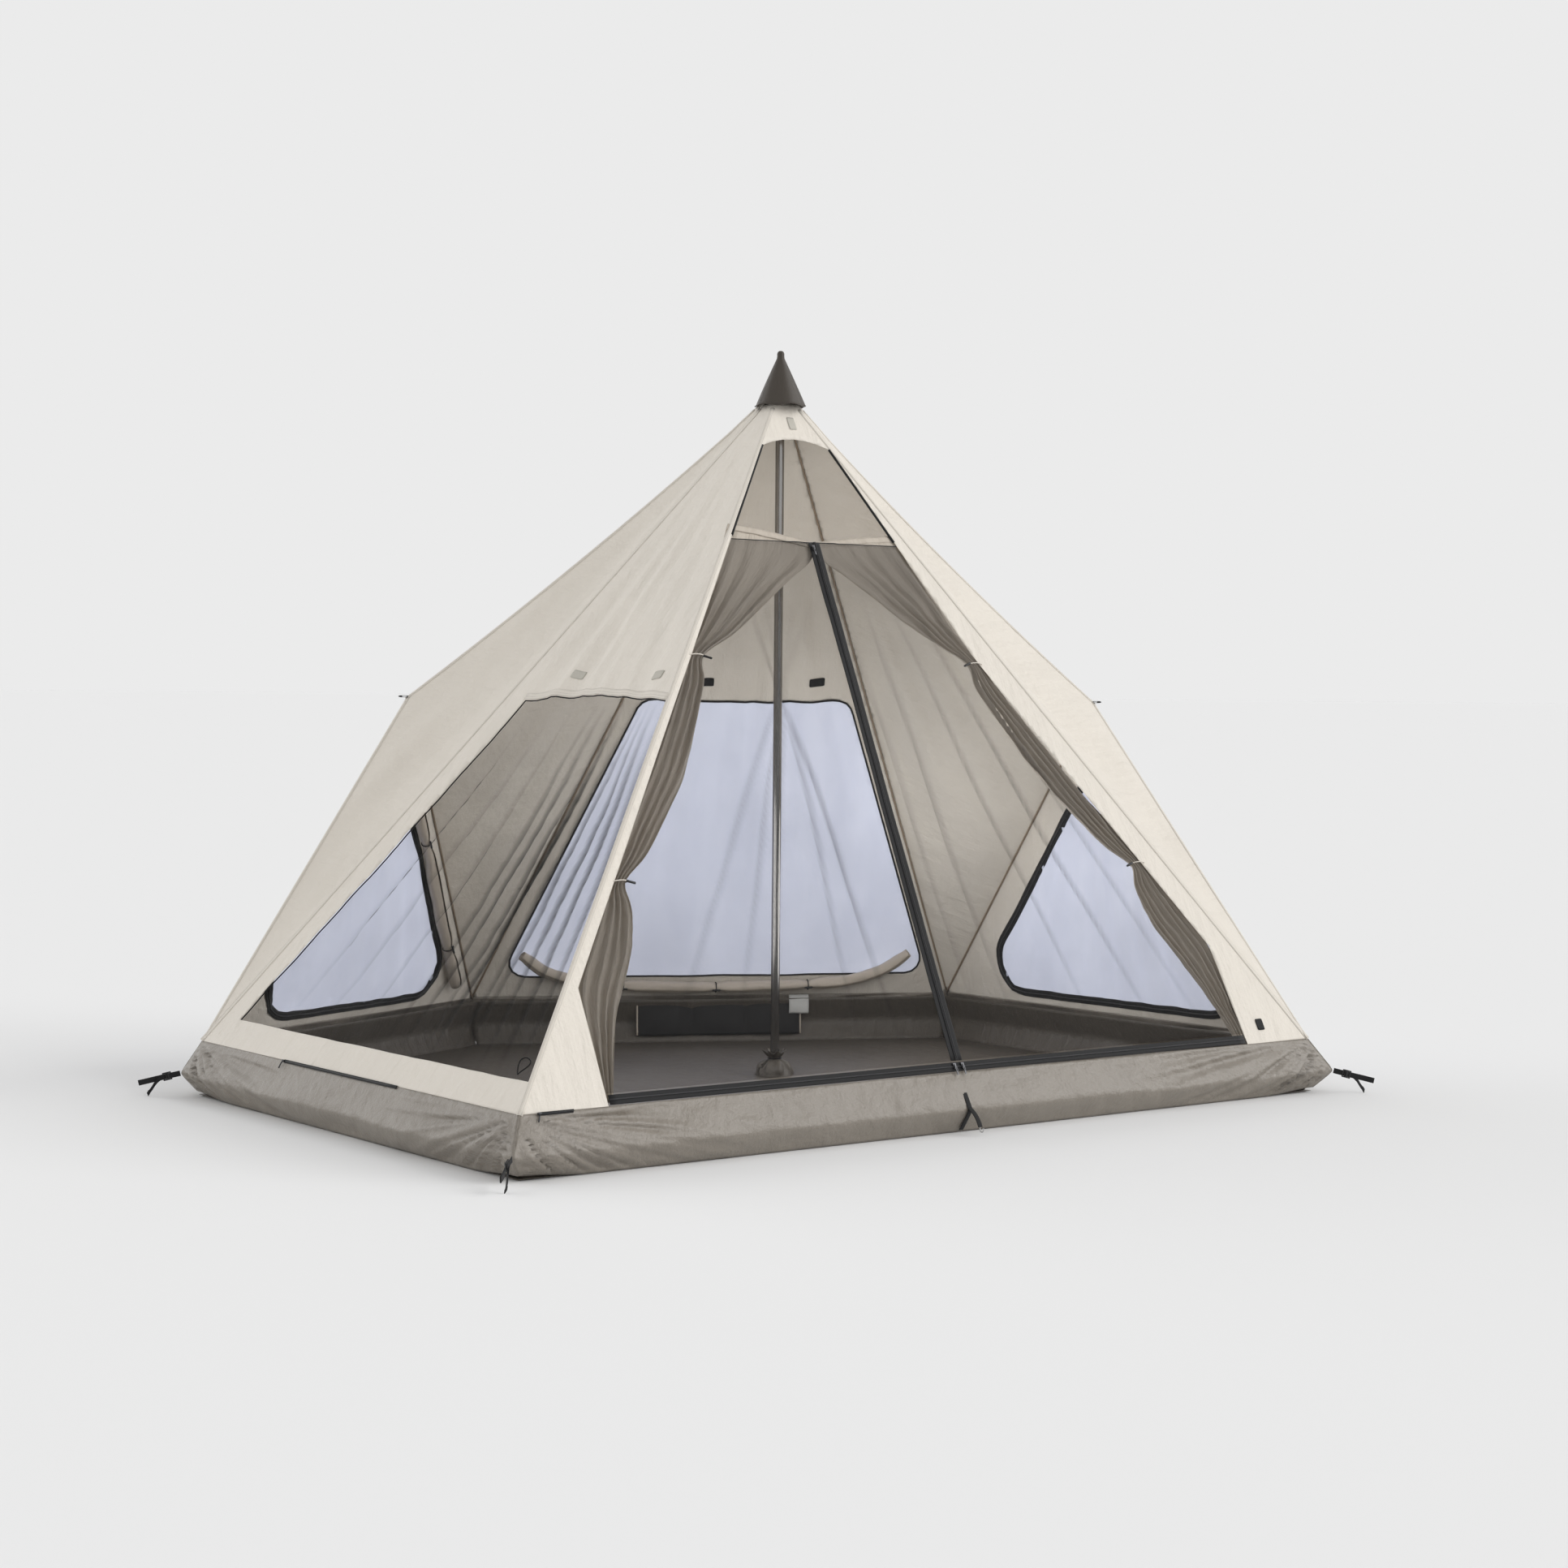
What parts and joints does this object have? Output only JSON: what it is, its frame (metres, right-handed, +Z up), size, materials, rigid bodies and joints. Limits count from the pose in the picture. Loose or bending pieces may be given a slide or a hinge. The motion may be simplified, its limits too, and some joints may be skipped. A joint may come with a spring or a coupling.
{
  "type": "teepee tent",
  "caption": "One-pole teepee tent with a five-cornered canopy, gathered door curtains, mesh doors and windows, a bathtub skirt and corner straps.",
  "frame": {"origin": "foot of the centre pole, on the floor under the groundsheet", "axes": "+Z up along the pole, +X along the door side to the right of someone facing the door, -Y out of the door"},
  "size_m": [3.9549, 3.1224, 2.8],
  "materials": {
    "pole_steel": "satin steel tube",
    "black_plastic": "moulded black plastic",
    "taupe_cloth": "plain weave, translucent",
    "cone_cloth": "coated dark brown cloth",
    "cream_cloth": "coated cream ripstop",
    "skirt_cloth": "heavy coated taupe cloth",
    "floor_cloth": "heavy coated dark cloth",
    "window_film": "pale translucent window cloth",
    "black_mesh": "black see-through insect mesh",
    "zip_tape": "black zip tape",
    "zip_metal": "black cast slider",
    "webbing": "black webbing",
    "hook_wire": "bright wire",
    "pocket_cloth": "black mesh cloth"
  },
  "bodies": {
    "tent": {"apex_cone": "cone_cloth", "curtain_left": "taupe_cloth", "curtain_right": "taupe_cloth", "flap_roll_back": "taupe_cloth", "flap_roll_left": "taupe_cloth", "flap_roll_right": "taupe_cloth", "groundsheet": "floor_cloth", "guy_tab_left": "webbing", "guy_tab_right": "webbing", "panel_back": "cream_cloth", "panel_front": "cream_cloth", "panel_front_left": "cream_cloth", "pocket": "pocket_cloth", "pole_boot": "taupe_cloth", "pole_cap": "black_plastic", "pole_section_1": "pole_steel", "pole_section_2": "pole_steel", "pole_section_3": "pole_steel", "pole_section_4": "pole_steel", "shoulder_left_back": "cream_cloth", "shoulder_left_front": "cream_cloth", "shoulder_right_back": "cream_cloth", "shoulder_right_front": "cream_cloth", "skirt_back": "skirt_cloth", "skirt_front": "skirt_cloth", "skirt_front_left": "skirt_cloth", "skirt_left": "skirt_cloth", "skirt_right": "skirt_cloth", "strap_middle": "webbing", "wall_left": "cream_cloth", "wall_right": "cream_cloth", "window_back": "window_film", "window_front_left": "black_mesh", "window_left": "window_film", "window_right": "window_film", "zip_bottom": "zip_tape", "zip_wall_left": "zip_tape", "zip_wall_right": "zip_tape"},
    "door_left": {"mesh_door_left": "black_mesh", "zip_centre_left": "zip_tape"},
    "door_right": {"mesh_door_right": "black_mesh", "zip_centre_right": "zip_tape"},
    "slider_top": {"slider_top": "zip_metal"},
    "pull_top": {"pull_top": "zip_metal"},
    "slider_bottom_left": {"slider_bottom_left": "zip_metal"},
    "pull_bottom_left": {"pull_bottom_left": "zip_metal"},
    "slider_bottom_right": {"slider_bottom_right": "zip_metal"},
    "pull_bottom_right": {"pull_bottom_right": "zip_metal"},
    "hook_middle": {"hook_middle": "hook_wire"},
    "strap_front_left": {"strap_front_left": "webbing", "buckle_front_left": "black_plastic"},
    "strap_right": {"strap_right": "webbing", "buckle_right": "black_plastic"},
    "strap_back_right": {"strap_back_right": "webbing", "buckle_back_right": "black_plastic"},
    "strap_back_left": {"strap_back_left": "webbing", "buckle_back_left": "black_plastic"},
    "strap_left": {"strap_left": "webbing", "buckle_left": "black_plastic"}
  },
  "joints": [
    {"name": "mesh_door_left_swing", "type": "hinge", "parent": "tent", "child": "door_left", "pos_m": [-1.55274, -1.17123, 0.54993], "axis": [-0.5434, -0.4067, -0.7344], "range_deg": [0, 75]},
    {"name": "mesh_door_right_swing", "type": "hinge", "parent": "tent", "child": "door_right", "pos_m": [1.16885, -1.17123, 0.54993], "axis": [-0.4495, 0.4327, 0.7815], "range_deg": [0, 75]},
    {"name": "slider_top_travel", "type": "slide", "parent": "door_left", "child": "slider_top", "axis": [-0.0434, -0.484, -0.874], "range_m": [0, 1.99]},
    {"name": "pull_top_swing", "type": "hinge", "parent": "slider_top", "child": "pull_top", "pos_m": [-0.09175, -0.36549, 2.02954], "axis": [-0.9991, 0.021, 0.038], "range_deg": [0, 150]},
    {"name": "slider_bottom_left_travel", "type": "slide", "parent": "tent", "child": "slider_bottom_left", "axis": [-1, 0, 0], "range_m": [0, 1.354]},
    {"name": "pull_bottom_left_swing", "type": "hinge", "parent": "slider_bottom_left", "child": "pull_bottom_left", "pos_m": [-0.18458, -1.36293, 0.22355], "axis": [-1, 0, 0], "range_deg": [0, 150]},
    {"name": "slider_bottom_right_travel", "type": "slide", "parent": "tent", "child": "slider_bottom_right", "axis": [1, 0, 0], "range_m": [0, 1.324]},
    {"name": "pull_bottom_right_swing", "type": "hinge", "parent": "slider_bottom_right", "child": "pull_bottom_right", "pos_m": [-0.15058, -1.36293, 0.22355], "axis": [-1, 0, 0], "range_deg": [0, 150]},
    {"name": "strap_front_left_swing", "type": "hinge", "parent": "tent", "child": "strap_front_left", "pos_m": [-1.93131, -1.43144, 0.07955], "axis": [0.1531, 0.1679, -0.9738], "range_deg": [-60, 60]},
    {"name": "strap_right_swing", "type": "hinge", "parent": "tent", "child": "strap_right", "pos_m": [1.58147, -1.43128, 0.07955], "axis": [-0.1711, 0.1495, -0.9738], "range_deg": [-60, 60]},
    {"name": "strap_back_right_swing", "type": "hinge", "parent": "tent", "child": "strap_back_right", "pos_m": [1.31156, 0.56116, 0.07955], "axis": [-0.1822, -0.1357, -0.9738], "range_deg": [-60, 60]},
    {"name": "strap_back_left_swing", "type": "hinge", "parent": "tent", "child": "strap_back_left", "pos_m": [-0.61001, 1.43195, 0.07955], "axis": [0.0007, -0.2272, -0.9738], "range_deg": [-60, 60]},
    {"name": "strap_left_swing", "type": "hinge", "parent": "tent", "child": "strap_left", "pos_m": [-2.13169, 0.73097, 0.07955], "axis": [0.1968, -0.1136, -0.9738], "range_deg": [-60, 60]},
    {"name": "hook_middle_swing", "type": "hinge", "parent": "tent", "child": "hook_middle", "pos_m": [-0.175, -1.4891, 0.03008], "axis": [-1, 0, 0], "range_deg": [-25, 60]}
  ]
}
